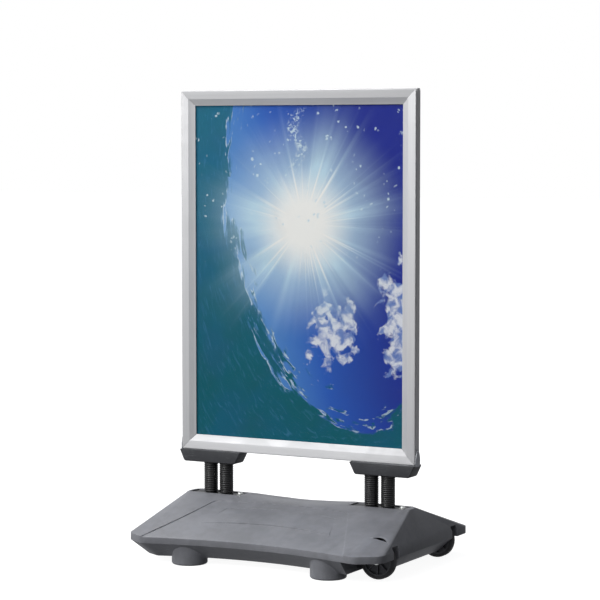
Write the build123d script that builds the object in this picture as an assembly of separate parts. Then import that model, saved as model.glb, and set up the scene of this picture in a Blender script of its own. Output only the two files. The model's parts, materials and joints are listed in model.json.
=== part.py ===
"""Double-sided pavement sign: a snap-open poster frame carried on four coil springs by a
hollow water-filled base with two wheels.

Millimetres. +X runs along the sign's width, the wheels are at +X, -Y is the front and +Z is up.
The origin is on the ground under the middle of the base.
"""

from build123d import *
import math
import os

os.makedirs("parts", exist_ok=True)

# ---------------------------------------------------------------- driving dimensions

# Poster and what lies in front of and behind it
poster_width = 594.0
poster_height = 841.0
poster_thickness = 0.3
poster_overlap = 10.0
cover_sheet_thickness = 0.8
backing_thickness = 3.0
groove_depth = 5.0

# Snap frame section: u runs inwards from the frame's outer edge, v runs out from its middle plane
profile_width = 37.5
frame_thickness = 26.0
core_thickness = 12.0
core_wall = 2.0
clip_wall = 1.6
clip_flat_width = 21.5
clip_bevel_width = 8.5
clip_bevel_drop = 5.5
clip_lip_drop = 1.8
bead_radius = 1.5
socket_outer_radius = 3.2
neck_width = 1.0
clip_corner_cut = 2.0
hinge_corner_cut = 7.0
key_leg_length = 38.0
snap_spring_length = 28.0
snap_spring_thickness = 0.5

# Heights of the main levels
base_bottom_height = 18.0
lip_bottom_height = 53.0
lip_top_height = 70.0
ridge_height = 144.0
bracket_bottom_height = 219.5
frame_bottom_height = 249.0

# Plan of the base at its lip, and how far its middle lies from the sign's middle
base_half_length = 345.0
base_shift = 5.0
corner_cut_x = 288.0
corner_cut_y = 274.0
end_half_width = 237.0
waist_half_width = 229.0
corner_radius = 34.0
skirt_inset = 40.0

# Ridge along the top of the base
ridge_half_length = 309.0
ridge_half_width = 30.0
ridge_corner_radius = 9.0
ridge_dip = 9.0
ridge_dip_half_length = 140.0

# Walls of the hollow base
base_wall = 5.0
housing_wall = 9.0

# Sunk panel on each slope, and the less steep terrace shaped like a lens across it
panel_depth = 2.2
panel_top_left = 200.0
panel_top_right = 172.0
panel_bottom_left = 288.0
panel_bottom_right = 272.0
panel_crown = 50.0
panel_shoulder = 62.0
panel_corner_radius = 10.0
lens_top_sink = 0.8
lens_bottom_rise = 3.6
lens_top_half_width = 150.0
lens_bottom_half_width = 176.0
lens_top_crown = 72.0
lens_top_shoulder = 88.0
lens_bottom_crown = 146.0
lens_bottom_shoulder = 168.0

# Feet
foot_x = 190.0
foot_y = 198.0
foot_radius = 43.5
foot_edge_radius = 5.0

# Wheels
wheel_radius = 44.0
wheel_width = 19.0
wheel_inset = 47.0
wheel_y = 161.0
wheel_lift = 1.0
tyre_thickness = 8.0
rim_thickness = 3.5
web_thickness = 3.0
wheel_boss_radius = 10.0
wheel_rib_count = 8
wheel_rib_thickness = 2.4
slot_gap = 11.0
slot_side_gap = 5.5
well_gap = 5.0
axle_radius = 5.0
axle_seat = 30.0
axle_head_radius = 9.0
axle_head_height = 3.0

# Springs
pair_x = 225.0
spring_spacing = 44.5
spring_outer_radius = 17.5
spring_wire = 4.6
plug_depth = 22.0
plug_flange_height = 4.0
plug_flange_radius = 16.0
spring_top_height = 225.0

# Foot plates under the springs and their bolts
pocket_depth = 7.0
plate_thickness = 4.0
plate_width = 42.0
plate_tongue_end = 84.0
plate_bolt_end = 73.0
pocket_front = 72.0
bolt_offset = 62.0
bolt_radius = 4.0
bolt_length = 24.0
bolt_head_radius = 7.5
bolt_head_height = 5.0
washer_radius = 9.5
washer_thickness = 1.6
insert_radius = 7.0
insert_length = 20.0
countersunk_head_radius = 7.5
countersunk_shaft_radius = 4.0
countersunk_length = 20.0

# Brackets under the frame
bracket_inner_x = 152.0
bracket_overhang = 1.0
bracket_hole_rim = 1.5
bracket_inner_lean = 15.0
bracket_outer_lean = 12.0
bracket_corner_radius = 8.0
bracket_rim = 3.0
bracket_low_chamfer = 2.0
bracket_wall = 2.0
bracket_plate_thickness = 2.5
bracket_plate_half_depth = 14.0
tab_height = 38.0
tab_half_width = 11.5
rail_screw_inner_x = 171.0
rail_screw_key_gap = 6.5
rail_screw_radius = 2.4
rail_screw_length = 9.0
rail_screw_head_radius = 4.5
rail_screw_head_height = 3.0

# Filler opening in the rear slope and its push-in bung
filler_y = 150.0
filler_radius = 20.0
filler_boss_radius = 28.0
filler_boss_height = 105.0
bung_flange_radius = 25.0
bung_flange_height = 4.0
bung_depth = 22.0
bung_grip_height = 5.0
bung_grip_corner = 2.5

# Clearances
seat_gap = 0.3
slide_gap = 0.1
hinge_gap = 0.3
mitre_gap = 0.3
running_gap = 0.05
hole_gap = 1.0

# ---------------------------------------------------------------- sizes worked out from those

frame_width = poster_width + 2 * (profile_width - poster_overlap)
frame_height = poster_height + 2 * (profile_width - poster_overlap)
frame_center_height = frame_bottom_height + frame_height / 2
half_core = core_thickness / 2
core_depth = profile_width - poster_overlap - 0.5
hinge_u = socket_outer_radius
hinge_v = frame_thickness / 2 - socket_outer_radius
socket_inner_radius = bead_radius + hinge_gap
chamber_end = core_depth - groove_depth - 2.5
chamber_half = half_core - 1.6
lip_underside = backing_thickness / 2 + poster_thickness + cover_sheet_thickness + seat_gap
wheel_x = base_shift + base_half_length - wheel_inset
wheel_z = wheel_radius + wheel_lift
slot_radius = wheel_radius + slot_gap
slot_half_width = wheel_width / 2 + slot_side_gap
pocket_floor = ridge_height - pocket_depth
plate_top = pocket_floor + plate_thickness
bracket_plate_bottom = frame_bottom_height - bracket_plate_thickness
bracket_half_depth = spring_outer_radius + hole_gap + bracket_wall + bracket_hole_rim
rail_screw_outer_x = frame_width / 2 - key_leg_length - rail_screw_key_gap
plug_radius = spring_outer_radius - spring_wire - 0.3
spring_places = [
    side * pair_x + step * spring_spacing / 2 for side in (-1, 1) for step in (-1, 1)
]
spring_names = ["left_outer", "left_inner", "right_inner", "right_outer"]
bolt_places = [side * pair_x + bolt_offset for side in (-1, 1)]


def write(name, shape):
    """Write one sub-part, moved so that the base's middle rather than the sign's is the origin."""
    placed = Pos(-base_shift, 0, 0) * shape
    placed.label = name
    export_step(placed, f"parts/{name}.step")


def group(solids):
    """Gather separate solids into one sub-part."""
    return Compound([piece.solid() for piece in solids])


def upright(radius, low, high, x=0.0, y=0.0):
    """A vertical cylinder between two heights."""
    return Pos(x, y, (low + high) / 2) * Cylinder(radius, high - low)


def block(x_low, x_high, y_low, y_high, z_low, z_high):
    """A box between two corners."""
    middle = ((x_low + x_high) / 2, (y_low + y_high) / 2, (z_low + z_high) / 2)
    return Pos(*middle) * Box(x_high - x_low, y_high - y_low, z_high - z_low)


# ---------------------------------------------------------------- hollow base


def plan(end_x, cut_x, cut_y, end_y, waist_y, radius):
    """Plan outline: front and rear edges curve in at the waist, corners are cut and rounded."""
    edges = [
        ThreePointArc((-cut_x, -cut_y), (0, -waist_y), (cut_x, -cut_y)),
        Line((cut_x, -cut_y), (end_x, -end_y)),
        Line((end_x, -end_y), (end_x, end_y)),
        Line((end_x, end_y), (cut_x, cut_y)),
        ThreePointArc((cut_x, cut_y), (0, waist_y), (-cut_x, cut_y)),
        Line((-cut_x, cut_y), (-end_x, end_y)),
        Line((-end_x, end_y), (-end_x, -end_y)),
        Line((-end_x, -end_y), (-cut_x, -cut_y)),
    ]
    outline = make_face(Wire(edges))
    return fillet(outline.vertices(), radius)


def lip_plan(inset):
    """The base's widest outline, moved in by an inset."""
    return Pos(base_shift, 0, 0) * plan(
        base_half_length - inset,
        corner_cut_x - inset * 0.6,
        corner_cut_y - inset,
        end_half_width - inset * 0.6,
        waist_half_width - inset,
        max(corner_radius - inset * 0.5, 3.0),
    )


def ridge_plan(inset):
    """The narrow flat along the top of the base, moved in by an inset."""
    return Pos(base_shift, 0, 0) * plan(
        ridge_half_length - inset,
        ridge_half_length - inset - 14.0,
        ridge_half_width - inset * 0.6,
        ridge_half_width - inset * 0.6 - 14.0,
        ridge_half_width - inset * 0.6 - 0.5,
        max(ridge_corner_radius - inset * 0.3, 2.0),
    )


def sloped_top(low, high, lip_inset, ridge_inset):
    """The four slopes that rise from the lip to the ridge."""
    foot = Pos(0, 0, low) * lip_plan(lip_inset)
    head = Pos(0, 0, high) * ridge_plan(ridge_inset)
    return loft([foot, head], ruled=True)


def skirt(low, high, low_inset, high_inset):
    """The part under the lip, which draws in towards the ground."""
    foot = Pos(0, 0, low) * lip_plan(low_inset)
    head = Pos(0, 0, high) * lip_plan(high_inset)
    return loft([foot, head], ruled=True)


def panel_outline():
    """Plan of the sunk panel on the front slope, which runs out over the lip."""
    reach = corner_cut_y + 10.0
    edges = [
        ThreePointArc(
            (-panel_top_left, -panel_shoulder),
            (0, -panel_crown),
            (panel_top_right, -panel_shoulder),
        ),
        Line((panel_top_right, -panel_shoulder), (panel_bottom_right, -reach)),
        Line((panel_bottom_right, -reach), (-panel_bottom_left, -reach)),
        Line((-panel_bottom_left, -reach), (-panel_top_left, -panel_shoulder)),
    ]
    return fillet(make_face(Wire(edges)).vertices().group_by(Axis.Y)[-1], panel_corner_radius)


def lens_outline():
    """Plan of the lens-shaped terrace across the panel."""
    edges = [
        ThreePointArc(
            (-lens_top_half_width, -lens_top_shoulder),
            (0, -lens_top_crown),
            (lens_top_half_width, -lens_top_shoulder),
        ),
        Line((lens_top_half_width, -lens_top_shoulder), (lens_bottom_half_width, -lens_bottom_shoulder)),
        ThreePointArc(
            (lens_bottom_half_width, -lens_bottom_shoulder),
            (0, -lens_bottom_crown),
            (-lens_bottom_half_width, -lens_bottom_shoulder),
        ),
        Line((-lens_bottom_half_width, -lens_bottom_shoulder), (-lens_top_half_width, -lens_top_shoulder)),
    ]
    return make_face(Wire(edges))


def sunk(outline, depth, slopes):
    """What is cut away over an outline to lower the slopes by a depth."""
    column = extrude(Pos(0, 0, lip_top_height - depth) * outline, ridge_height)
    return column - Pos(0, 0, -depth) * slopes


def slope_height(y):
    """Height of the front slope at the sign's middle, at a distance y in front of it."""
    ridge_edge = ridge_half_width - 0.5
    fall = (y - ridge_edge) / (waist_half_width - ridge_edge)
    return ridge_height - fall * (ridge_height - lip_top_height)


def terrace():
    """The lens on the front slope: sunk along its upper arc, and proud along its lower one."""
    column = extrude(Pos(0, 0, lip_top_height) * lens_outline(), ridge_height)
    high = slope_height(lens_top_crown) - panel_depth - lens_top_sink
    low = slope_height(lens_bottom_crown) - panel_depth + lens_bottom_rise
    gradient = (high - low) / (lens_bottom_crown - lens_top_crown)
    near = lens_top_crown - 10.0
    far = lens_bottom_shoulder + 10.0
    side_view = Polyline(
        (-near, 0),
        (-near, high + gradient * (lens_top_crown - near)),
        (-far, high - gradient * (far - lens_top_crown)),
        (-far, 0),
        close=True,
    )
    under = extrude(Plane.YZ * make_face(side_view), corner_cut_x, both=True)
    return column, column & under


def base_outside():
    """The closed outer shape of the base before its openings are cut."""
    slopes = sloped_top(lip_top_height, ridge_height, 0.0, 0.0)
    lip = extrude(Pos(0, 0, lip_bottom_height) * lip_plan(0.0), lip_top_height - lip_bottom_height)
    body = slopes + lip + skirt(base_bottom_height, lip_bottom_height, skirt_inset, 0.0)
    panel = sunk(panel_outline(), panel_depth, slopes)
    column, lens = terrace()
    body = (body - panel - column) + lens
    body = (body - panel.mirror(Plane.XZ) - column.mirror(Plane.XZ)) + lens.mirror(Plane.XZ)
    rise = ridge_dip_half_length**2 / (2 * ridge_dip)
    dip = Pos(0, 0, ridge_height - ridge_dip + rise) * Rot(90, 0, 0) * Cylinder(rise, 2 * corner_cut_y)
    body = body - dip
    for x in (-foot_x, foot_x):
        for y in (-foot_y, foot_y):
            foot = upright(foot_radius, 0.0, lip_bottom_height, x, y)
            body = body + fillet(foot.edges().group_by(Axis.Z)[0], foot_edge_radius)
    body = body - upright(filler_boss_radius, filler_boss_height, ridge_height, 0.0, filler_y)
    return body + upright(filler_boss_radius, lip_top_height, filler_boss_height, 0.0, filler_y)


def wheel_slot(end, radius, half_width):
    """The arched slot over a wheel, open at the end of the base. end is -1 at the front."""
    y = end * wheel_y
    arch = Pos(wheel_x, y, wheel_z) * Rot(90, 0, 0) * Cylinder(radius, 2 * half_width)
    beyond = base_shift + base_half_length + 10.0
    return arch + block(wheel_x, beyond, y - half_width, y + half_width, -1.0, wheel_z)


def wheel_well(end, gap):
    """The space under the lip beside a wheel, open to the end and the side of the base."""
    y_low, y_high = sorted((end * (wheel_y - slot_half_width - gap), end * (corner_cut_y + 10.0)))
    beyond = base_shift + base_half_length + 10.0
    low_x = wheel_x - wheel_radius - well_gap - gap
    return block(low_x, beyond, y_low, y_high, -1.0, lip_bottom_height + gap)


def axle_boss(end, radius, gap):
    """Cylinder around the seat of a cantilevered axle, inboard of its wheel."""
    length = axle_seat + gap
    middle = end * (wheel_y - slot_half_width - length / 2)
    return Pos(wheel_x, middle, wheel_z) * Rot(90, 0, 0) * Cylinder(radius, length)


def base_inside():
    """The water space: the outer shape less its walls and less the solid bosses it leaves."""
    ridge_inset = 16.0
    space_top = pocket_floor - base_wall - 5.0
    lip_inset = base_wall + 1.0
    space = sloped_top(lip_top_height - 2.0, space_top, lip_inset, ridge_inset)
    lip_space = extrude(
        Pos(0, 0, lip_bottom_height) * lip_plan(lip_inset),
        lip_top_height - 2.0 - lip_bottom_height,
    )
    low_space = skirt(base_bottom_height + base_wall, lip_bottom_height, skirt_inset + 2.0, lip_inset)
    space = space + lip_space + low_space
    for x in (-foot_x, foot_x):
        for y in (-foot_y, foot_y):
            space = space + upright(foot_radius - base_wall, base_wall, base_bottom_height + 10.0, x, y)
    for end in (-1, 1):
        space = space - wheel_slot(end, slot_radius + base_wall, slot_half_width + base_wall)
        space = space - wheel_well(end, base_wall)
        space = space - axle_boss(end, axle_radius + housing_wall, base_wall)
    for x in bolt_places:
        space = space - upright(insert_radius + base_wall, space_top - 25.0, ridge_height, x)
    return space


def base_tank():
    """The moulded hollow base."""
    tank = base_outside() - base_inside()
    for end in (-1, 1):
        tank = tank - wheel_slot(end, slot_radius, slot_half_width)
        tank = tank - wheel_well(end, 0.0)
        tank = tank - axle_boss(end, axle_radius + running_gap, seat_gap)
    pocket_half = plate_width / 2 + 3.0
    for side in (-1, 1):
        middle = side * pair_x
        tank = tank - block(
            middle - pocket_front,
            middle + plate_bolt_end + 2.0,
            -pocket_half,
            pocket_half,
            pocket_floor,
            ridge_height + 20.0,
        )
        tank = tank - block(
            middle - plate_tongue_end - 1.0,
            middle,
            -plate_width / 2 - 0.5,
            plate_width / 2 + 0.5,
            pocket_floor,
            plate_top + seat_gap,
        )
    for x in bolt_places:
        tank = tank - upright(insert_radius, pocket_floor - insert_length, pocket_floor, x)
        tank = tank - upright(bolt_radius + 0.5, plate_top - bolt_length - 4.0, pocket_floor, x)
    filler_bottom = filler_boss_height - 50.0
    return tank - upright(filler_radius, filler_bottom, filler_boss_height + 1.0, 0.0, filler_y)


def filler_bung():
    """Push-in stopper with a flange, a tapered plug and a grip."""
    flange_low = filler_boss_height
    flange_high = flange_low + bung_flange_height
    flange = upright(bung_flange_radius, flange_low, flange_high, 0.0, filler_y)
    flange = fillet(flange.edges().group_by(Axis.Z)[-1], 1.5)
    plug_low = flange_low - bung_depth
    plug_high_radius = filler_radius - seat_gap
    plug = Pos(0, filler_y, (plug_low + flange_low) / 2) * Cone(
        plug_high_radius - 2.0, plug_high_radius, bung_depth
    )
    hollow = upright(plug_high_radius - 5.0, plug_low - 1.0, flange_low - 2.0, 0.0, filler_y)
    grip = block(
        -14.0, 14.0, filler_y - 2.5, filler_y + 2.5, flange_high - 1.0, flange_high + bung_grip_height
    )
    grip = fillet(grip.edges().filter_by(Axis.Y), bung_grip_corner)
    return flange + (plug - hollow) + grip


# ---------------------------------------------------------------- wheels


def lying(radius, width, y):
    """A cylinder whose axis runs along Y through a wheel's centre."""
    return Pos(wheel_x, y, wheel_z) * Rot(90, 0, 0) * Cylinder(radius, width)


def wheel_hub(y):
    """Ribbed plastic wheel disc with a boss for the axle."""
    hub_radius = wheel_radius - tyre_thickness
    hub_width = wheel_width - 2.0
    hub = lying(hub_radius, hub_width, y) - lying(hub_radius - rim_thickness, wheel_width, y)
    hub = hub + lying(hub_radius - rim_thickness / 2, web_thickness, y)
    hub = hub + lying(wheel_boss_radius, wheel_width + 2.0, y)
    rib_length = hub_radius - rim_thickness / 2
    rib_width = wheel_width - 5.0
    for turn in range(wheel_rib_count):
        rib = Pos(rib_length / 2, 0, 0) * Box(rib_length, rib_width, wheel_rib_thickness)
        hub = hub + Pos(wheel_x, y, wheel_z) * Rot(0, 360.0 * turn / wheel_rib_count, 0) * rib
    return hub - lying(axle_radius + running_gap, wheel_width + 4.0, y)


def tyre(y):
    """Soft tread ring around the wheel disc."""
    ring = lying(wheel_radius, wheel_width, y)
    ring = fillet(ring.edges().filter_by(GeomType.CIRCLE), 3.0)
    return ring - lying(wheel_radius - tyre_thickness + slide_gap, wheel_width + 2.0, y)


def axle(end):
    """Steel pin pressed into the base, with a flat head outside its wheel."""
    inner = wheel_y - slot_half_width - axle_seat
    head_low = wheel_y + wheel_width / 2 + 1.0 + seat_gap
    pin = lying(axle_radius, head_low - inner, end * (inner + head_low) / 2)
    head = lying(axle_head_radius, axle_head_height, end * (head_low + axle_head_height / 2))
    outer_rim = head.edges().filter_by(GeomType.CIRCLE).sort_by(Axis.Y)[-1 if end > 0 else 0]
    return pin + fillet(outer_rim, 1.2)


# ---------------------------------------------------------------- springs and what holds them


def coil_spring(x):
    """Close-coiled spring, drawn as its solid ribbed outline around a plain bore."""
    count = round((spring_top_height - plate_top) / spring_wire)
    pitch = (spring_top_height - plate_top) / count
    ridge = spring_outer_radius
    valley = spring_outer_radius - 0.25 * spring_wire
    bore = spring_outer_radius - spring_wire
    edges = []
    for turn in range(count):
        low = plate_top + turn * pitch
        edges.append(ThreePointArc((valley, low), (ridge, low + pitch / 2), (valley, low + pitch)))
    edges.append(Line((valley, spring_top_height), (bore, spring_top_height)))
    edges.append(Line((bore, spring_top_height), (bore, plate_top)))
    edges.append(Line((bore, plate_top), (valley, plate_top)))
    profile = Plane.XZ * make_face(Wire(edges))
    return Pos(x, 0, 0) * revolve(profile, Axis.Z)


def countersunk(x, head_height, direction):
    """Countersunk screw: its flat face is at head_height and it points along direction."""
    depth = countersunk_head_radius - countersunk_shaft_radius
    profile = make_face(
        Polyline(
            (0, 0),
            (countersunk_head_radius, 0),
            (countersunk_shaft_radius, depth),
            (countersunk_shaft_radius, countersunk_length),
            (0, countersunk_length),
            close=True,
        )
    )
    turned = Rot(180, 0, 0) if direction < 0 else Rot(0, 0, 0)
    return Pos(x, 0, head_height) * turned * revolve(Plane.XZ * profile, Axis.Z)


def countersunk_hole(x, head_height, direction):
    """Room for a countersunk screw."""
    depth = countersunk_head_radius - countersunk_shaft_radius
    radius = countersunk_shaft_radius + slide_gap
    profile = make_face(
        Polyline(
            (0, -1.0),
            (countersunk_head_radius + slide_gap + 1.0, -1.0),
            (radius, depth),
            (radius, countersunk_length + 1.0),
            (0, countersunk_length + 1.0),
            close=True,
        )
    )
    turned = Rot(180, 0, 0) if direction < 0 else Rot(0, 0, 0)
    return Pos(x, 0, head_height) * turned * revolve(Plane.XZ * profile, Axis.Z)


def foot_plate(side):
    """Steel plate in the ridge pocket: a tongue at one end and a bolt hole at the other."""
    middle = side * pair_x
    plate = block(
        middle - plate_tongue_end,
        middle + plate_bolt_end,
        -plate_width / 2,
        plate_width / 2,
        pocket_floor,
        plate_top,
    )
    plate = fillet(plate.edges().filter_by(Axis.Z), 6.0)
    plate = plate - upright(bolt_radius + 0.5, pocket_floor - 1.0, plate_top + 1.0, middle + bolt_offset)
    for step in (-1, 1):
        plate = plate - countersunk_hole(middle + step * spring_spacing / 2, pocket_floor, 1)
    return plate


def lower_spring_plug(x):
    """Steel plug on the foot plate that the spring's lower coils grip."""
    plug = upright(plug_radius, plate_top, plate_top + plug_depth, x)
    plug = chamfer(plug.edges().group_by(Axis.Z)[-1], 2.0)
    return plug - countersunk_hole(x, pocket_floor, 1)


def upper_spring_plug(x):
    """Steel plug under the bracket plate that the spring's upper coils grip."""
    plug = upright(plug_radius, spring_top_height - plug_depth, spring_top_height, x)
    plug = chamfer(plug.edges().group_by(Axis.Z)[0], 2.0)
    flange_top = spring_top_height + plug_flange_height
    plug = plug + upright(plug_flange_radius, spring_top_height, flange_top, x)
    plug = plug + upright(plug_radius, flange_top, bracket_plate_bottom, x)
    return plug - countersunk_hole(x, frame_bottom_height, -1)


def plate_bolt(x):
    """Dome-headed bolt that holds a foot plate down."""
    head_low = plate_top + washer_thickness
    head = upright(bolt_head_radius, head_low, head_low + bolt_head_height, x)
    head = fillet(head.edges().group_by(Axis.Z)[-1], bolt_head_height * 0.7)
    socket_sides = 6
    socket = Pos(x, 0, head_low + bolt_head_height - 2.2) * extrude(RegularPolygon(2.9, socket_sides), 4.0)
    return (head - socket) + upright(bolt_radius, head_low - bolt_length, head_low, x)


def plate_washer(x):
    """Flat washer under a plate bolt."""
    ring = upright(washer_radius, plate_top, plate_top + washer_thickness, x)
    return ring - upright(bolt_radius + 0.5, plate_top - 1.0, plate_top + washer_thickness + 1.0, x)


def threaded_insert(x):
    """Brass sleeve moulded into the base for a plate bolt."""
    low = pocket_floor - insert_length
    sleeve = upright(insert_radius, low, pocket_floor, x)
    return sleeve - upright(bolt_radius + slide_gap, low - 1.0, pocket_floor + 1.0, x)


# ---------------------------------------------------------------- brackets


def bracket_profile(inset):
    """Side view of the boat-shaped bracket cover on the right, moved in by an inset."""
    top = frame_bottom_height - seat_gap
    low = bracket_bottom_height + inset
    inner = bracket_inner_x + inset
    outer = frame_width / 2 + bracket_overhang - inset
    boat = Polyline(
        (inner, top),
        (inner + bracket_inner_lean, low),
        (outer - bracket_outer_lean, low),
        (outer, top - bracket_rim),
        (outer, top),
        close=True,
    )
    low_corners = make_face(boat).vertices().group_by(Axis.Y)[0]
    return fillet(low_corners, bracket_corner_radius - inset)


def bracket_cover(side):
    """Moulded cover around the plugs, open at the top where the frame sits."""
    body = extrude(Plane.XZ * bracket_profile(0.0), bracket_half_depth, both=True)
    low_edges = body.faces().sort_by(Axis.Z)[0].edges().filter_by(Axis.X)
    body = chamfer(low_edges, bracket_low_chamfer)
    inner_depth = bracket_half_depth - bracket_wall
    inside = extrude(Plane.XZ * bracket_profile(bracket_wall), inner_depth, both=True)
    top = frame_bottom_height - seat_gap
    outer = frame_width / 2 + bracket_overhang
    above = block(
        bracket_inner_x + bracket_wall, outer - bracket_wall, -inner_depth, inner_depth, top - 1.0, top + 1.0
    )
    tab_room = tab_half_width + seat_gap
    notch = block(
        outer - bracket_wall - 1.0, outer + 1.0, -tab_room, tab_room, bracket_plate_bottom - seat_gap, top + 1.0
    )
    body = body - inside - above - notch
    for step in (-1, 1):
        x = pair_x + step * spring_spacing / 2
        floor = bracket_bottom_height
        body = body - upright(spring_outer_radius + hole_gap, floor - 1.0, floor + bracket_wall + 1.0, x)
        rib_x = x + step * (spring_outer_radius + 6.0)
        rib_low = bracket_bottom_height + bracket_wall - 0.5
        rib = block(
            rib_x - 1.2, rib_x + 1.2, -inner_depth - 0.5, inner_depth + 0.5, rib_low, bracket_plate_bottom
        )
        body = body + rib
    return body if side > 0 else body.mirror(Plane.YZ)


def bracket_plate(side):
    """Bent steel plate: a flat under the frame and a tab up its side."""
    outer = frame_width / 2
    flat_end = outer + bracket_overhang - bracket_wall - seat_gap
    flat = block(
        bracket_inner_x + bracket_wall + 3.0,
        flat_end,
        -bracket_plate_half_depth,
        bracket_plate_half_depth,
        bracket_plate_bottom,
        frame_bottom_height,
    )
    bend = block(
        flat_end - 1.0,
        outer + bracket_plate_thickness,
        -tab_half_width,
        tab_half_width,
        bracket_plate_bottom,
        frame_bottom_height,
    )
    tab_top = frame_bottom_height + tab_height
    straight = frame_bottom_height + 8.0
    shoulder_z = straight + (tab_top - straight) * 0.62
    shoulder_y = tab_half_width * 0.72
    tip = 1.5
    edges = [
        Line((-tab_half_width, bracket_plate_bottom), (tab_half_width, bracket_plate_bottom)),
        Line((tab_half_width, bracket_plate_bottom), (tab_half_width, straight)),
        ThreePointArc((tab_half_width, straight), (shoulder_y, shoulder_z), (tip, tab_top)),
        Line((tip, tab_top), (-tip, tab_top)),
        ThreePointArc((-tip, tab_top), (-shoulder_y, shoulder_z), (-tab_half_width, straight)),
        Line((-tab_half_width, straight), (-tab_half_width, bracket_plate_bottom)),
    ]
    tab = extrude(Plane.YZ * make_face(Wire(edges)), bracket_plate_thickness)
    plate = flat + bend + Pos(outer, 0, 0) * tab
    for step in (-1, 1):
        plate = plate - countersunk_hole(pair_x + step * spring_spacing / 2, frame_bottom_height, -1)
    for x in (rail_screw_inner_x, rail_screw_outer_x):
        plate = plate - upright(
            rail_screw_radius + slide_gap, bracket_plate_bottom - 1.0, frame_bottom_height + 1.0, x
        )
    return plate if side > 0 else plate.mirror(Plane.YZ)


def rail_screws():
    """Pan-head screws that go up through the bracket plates into the bottom rail."""
    screws = []
    for side in (-1, 1):
        for place in (rail_screw_inner_x, rail_screw_outer_x):
            x = side * place
            head_low = bracket_plate_bottom - rail_screw_head_height
            head = upright(rail_screw_head_radius, head_low, bracket_plate_bottom, x)
            head = fillet(head.edges().group_by(Axis.Z)[0], 1.2)
            shaft = upright(rail_screw_radius, bracket_plate_bottom, bracket_plate_bottom + rail_screw_length, x)
            screws.append(head + shaft)
    return group(screws)


# ---------------------------------------------------------------- snap frame


section_plane = Plane(origin=(0, 0, 0), x_dir=(0, 0, 1), z_dir=(1, 0, 0))
side_angles = {"bottom": 0.0, "left": 90.0, "top": 180.0, "right": -90.0}


def side_length(side):
    """Outer length of one side of the frame."""
    return frame_width if side in ("bottom", "top") else frame_height


def side_offset(side):
    """Distance from the frame's centre to the outer edge of one side."""
    return frame_height / 2 if side in ("bottom", "top") else frame_width / 2


def place_side(shape, side):
    """Move a shape made for the bottom side, with its outer edge at z = 0, to any side."""
    turned = Rot(0, side_angles[side], 0) * (Pos(0, 0, -side_offset(side)) * shape)
    return Pos(0, 0, frame_center_height) * turned


def mitre_block(length, gap, blunt):
    """The trapezoid that a side keeps once both its ends are cut at 45 degrees."""
    half = length / 2
    first = max(gap, blunt)
    corners = [
        (-half + first, -1.0),
        (half - first, -1.0),
        (half - first, first - gap),
        (half - profile_width - gap - 1.0, profile_width + 1.0),
        (-half + profile_width + gap + 1.0, profile_width + 1.0),
        (-half + first, first - gap),
    ]
    return extrude(Plane.XZ * make_face(Polyline(*corners, close=True)), frame_thickness, both=True)


def end_relief(length, cut, v_low, v_high):
    """Blocks that shorten the hinge parts at both ends of a side, clear of the next side."""
    half = length / 2
    reach = 2 * socket_outer_radius + 0.2
    blocks = []
    for end in (-1, 1):
        for front in (-1, 1):
            x_low, x_high = sorted((end * (half - cut), end * (half + 1.0)))
            y_low, y_high = sorted((front * v_low, front * v_high))
            blocks.append(block(x_low, x_high, y_low, y_high, -1.0, reach))
    return blocks


def rail(side):
    """Extruded core of the frame with a bead on each face for the clip to turn on."""
    length = side_length(side)
    section = Pos(core_depth / 2, 0) * Rectangle(core_depth, core_thickness)
    chamber_width = chamber_end - core_wall
    section = section - Pos(core_wall + chamber_width / 2, 0) * Rectangle(chamber_width, 2 * chamber_half)
    groove_width = backing_thickness + 2 * slide_gap
    section = section - Pos(core_depth - groove_depth / 2 + 0.5, 0) * Rectangle(
        groove_depth + 1.0, groove_width
    )
    for front in (-1, 1):
        neck_length = hinge_v - half_core + 0.2
        neck_middle = front * (half_core - 0.2 + neck_length / 2)
        section = section + Pos(hinge_u, neck_middle) * Rectangle(neck_width, neck_length)
        section = section + Pos(hinge_u, front * hinge_v) * Circle(bead_radius)
    bar = extrude(section_plane * section, length / 2, both=True) & mitre_block(length, 0.0, 0.0)
    for relief in end_relief(length, hinge_corner_cut, half_core, frame_thickness / 2 + 1.0):
        bar = bar - relief
    if side == "bottom":
        for x in (rail_screw_inner_x, rail_screw_outer_x):
            for end in (-1, 1):
                bar = bar - upright(rail_screw_radius + slide_gap, -1.0, core_wall + 0.5, end * x)
    return place_side(bar, side)


def clip_section():
    """Section of the hinged cover profile: socket, flat, bevel, and lip over the poster."""
    top = frame_thickness / 2
    bevel_end = clip_flat_width + clip_bevel_width
    bevel_top = top - clip_bevel_drop
    lip_top = bevel_top - clip_lip_drop
    inner_flat_end = clip_flat_width - 0.6
    inner_bevel_end = bevel_end - 0.4
    inner_bevel = bevel_top - clip_wall
    inner_lip = lip_top - clip_wall
    hook_width = 1.5
    plate = make_face(
        Polyline(
            (hinge_u, top),
            (clip_flat_width, top),
            (bevel_end, bevel_top),
            (profile_width, lip_top),
            (profile_width, lip_underside),
            (profile_width - hook_width, lip_underside),
            (profile_width - hook_width, inner_lip + 0.2),
            (inner_bevel_end, inner_bevel),
            (inner_flat_end, top - clip_wall),
            (hinge_u, top - clip_wall),
            close=True,
        )
    )
    centre = Pos(hinge_u, hinge_v)
    mouth_angles = (145.0, 180.0, 215.0, 250.0, 285.0, 320.0)
    reach = 2 * socket_outer_radius
    mouth_points = [
        (reach * math.cos(math.radians(angle)), reach * math.sin(math.radians(angle)))
        for angle in mouth_angles
    ]
    mouth = make_face(Polyline((0, 0), *mouth_points, close=True))
    socket = Circle(socket_outer_radius) - mouth
    return (plate + centre * socket) - centre * Circle(socket_inner_radius)


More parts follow.
